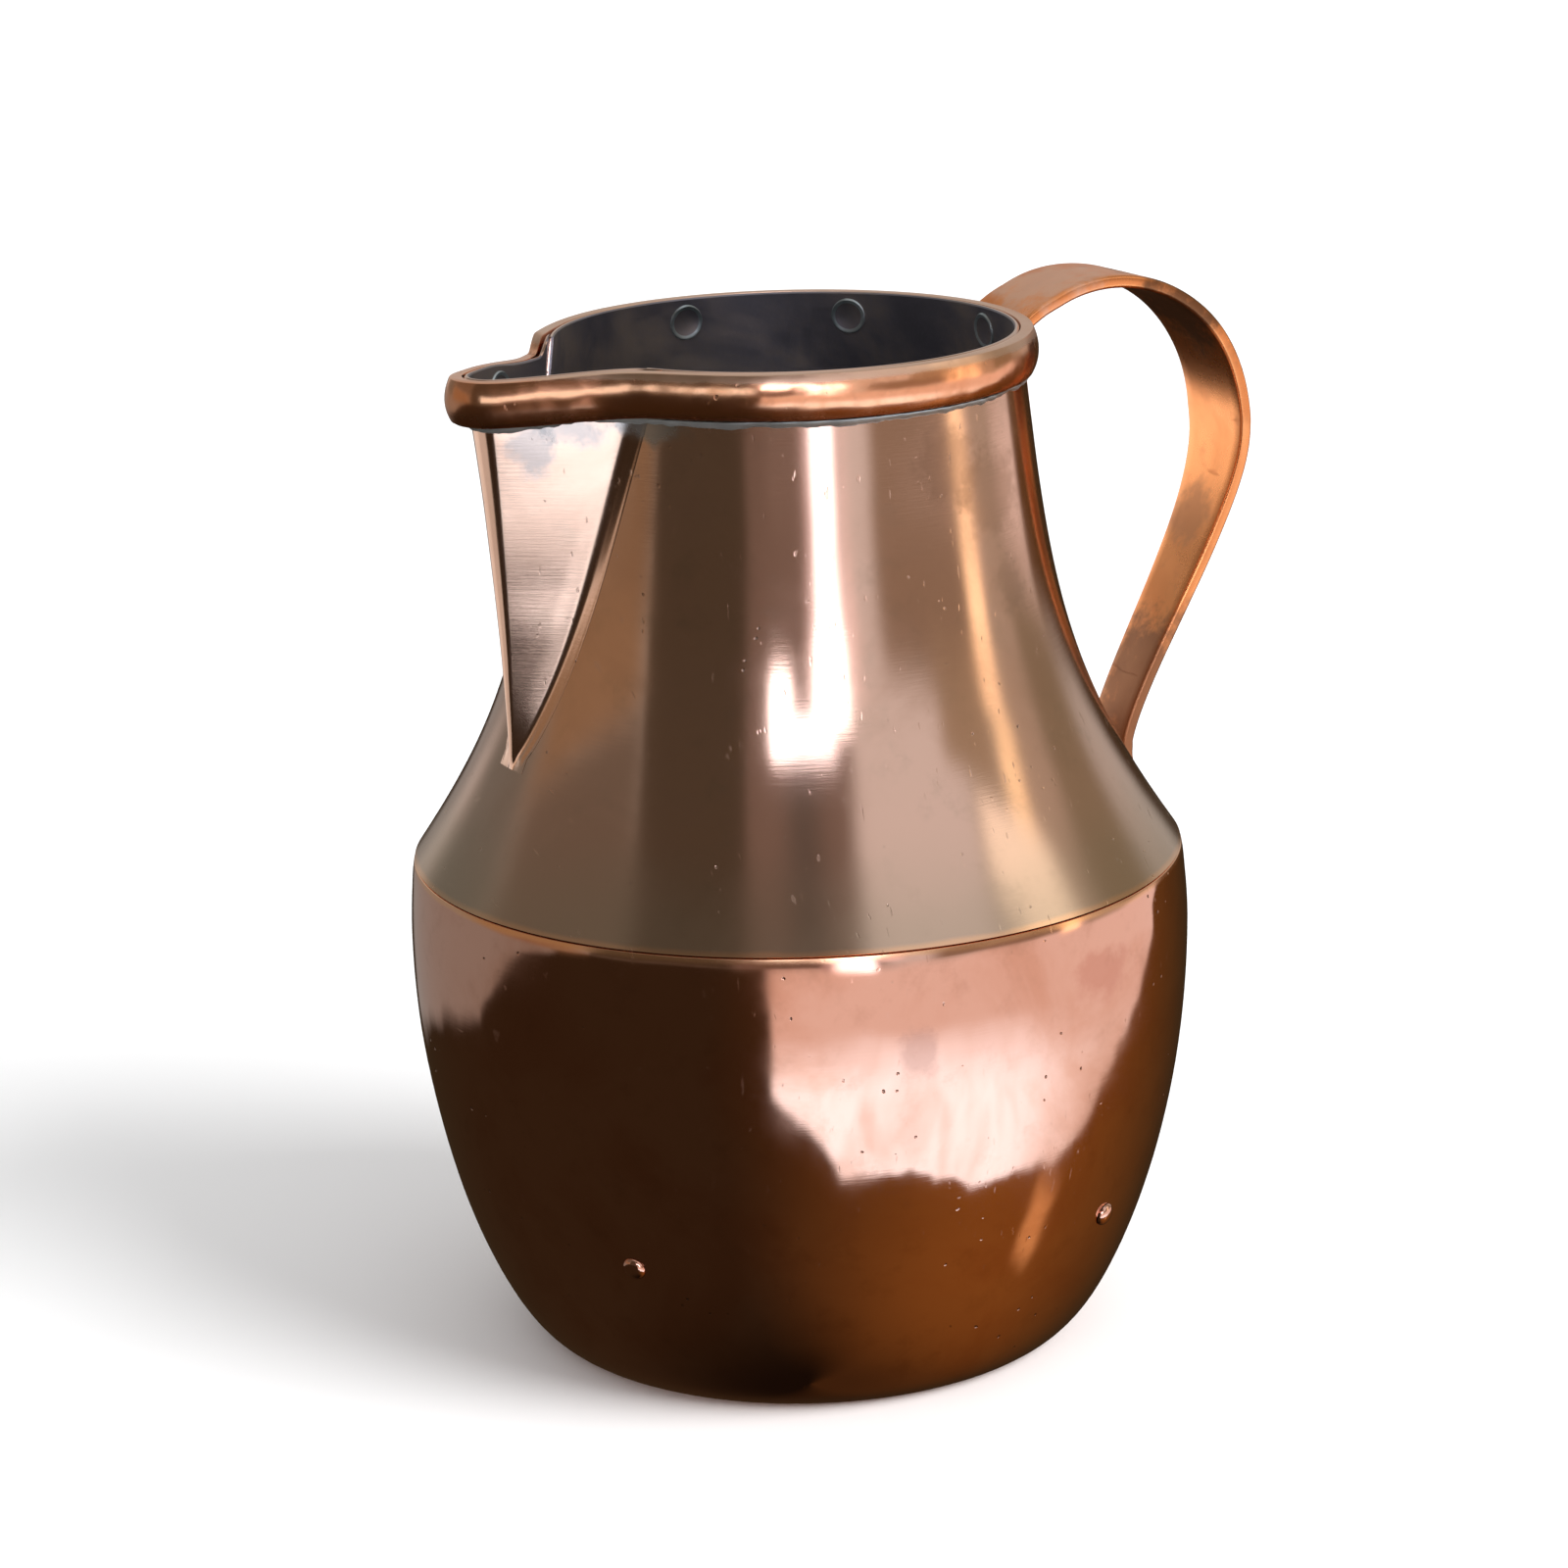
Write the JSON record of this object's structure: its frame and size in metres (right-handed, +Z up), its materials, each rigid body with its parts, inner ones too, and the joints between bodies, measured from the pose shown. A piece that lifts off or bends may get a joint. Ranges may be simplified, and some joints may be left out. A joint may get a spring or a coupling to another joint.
{
  "type": "copper water jug",
  "caption": "Copper water jug: rounded bowl, flared neck, V spout, half-round rim moulding and riveted strap handle.",
  "frame": {"origin": "centre of the base disc's underside, on the jug's axis", "axes": "+Z up the jug's axis, +X towards the handle, -X towards the spout, +Y across the jug"},
  "size_m": [0.2236, 0.1932, 0.2573],
  "materials": {
    "bowl_copper": "old copper, polished, with brown tarnish",
    "neck_copper": "old copper, polished, with greyish lilac tarnish",
    "rim_copper": "polished orange copper bar, worn on its edges",
    "handle_copper": "satin orange copper strap, worn bright on its edges",
    "tin": "dull tin and solder"
  },
  "bodies": {
    "root": {"bowl": "bowl_copper", "base_disc": "bowl_copper", "neck": "neck_copper", "spout": "neck_copper", "rim_moulding": "rim_copper", "rim_solder": "tin", "handle_strap": "handle_copper", "rim_rivet_1": "tin", "rim_rivet_2": "tin", "rim_rivet_3": "tin", "rim_rivet_4": "tin", "rim_rivet_5": "tin", "rim_rivet_6": "tin", "rim_rivet_7": "tin", "tail_rivet": "handle_copper", "foot_rivet_1": "handle_copper", "foot_rivet_2": "handle_copper", "bowl_rivet_1": "bowl_copper", "bowl_rivet_2": "bowl_copper", "bowl_rivet_3": "bowl_copper", "bowl_rivet_4": "bowl_copper"}
  },
  "joints": []
}
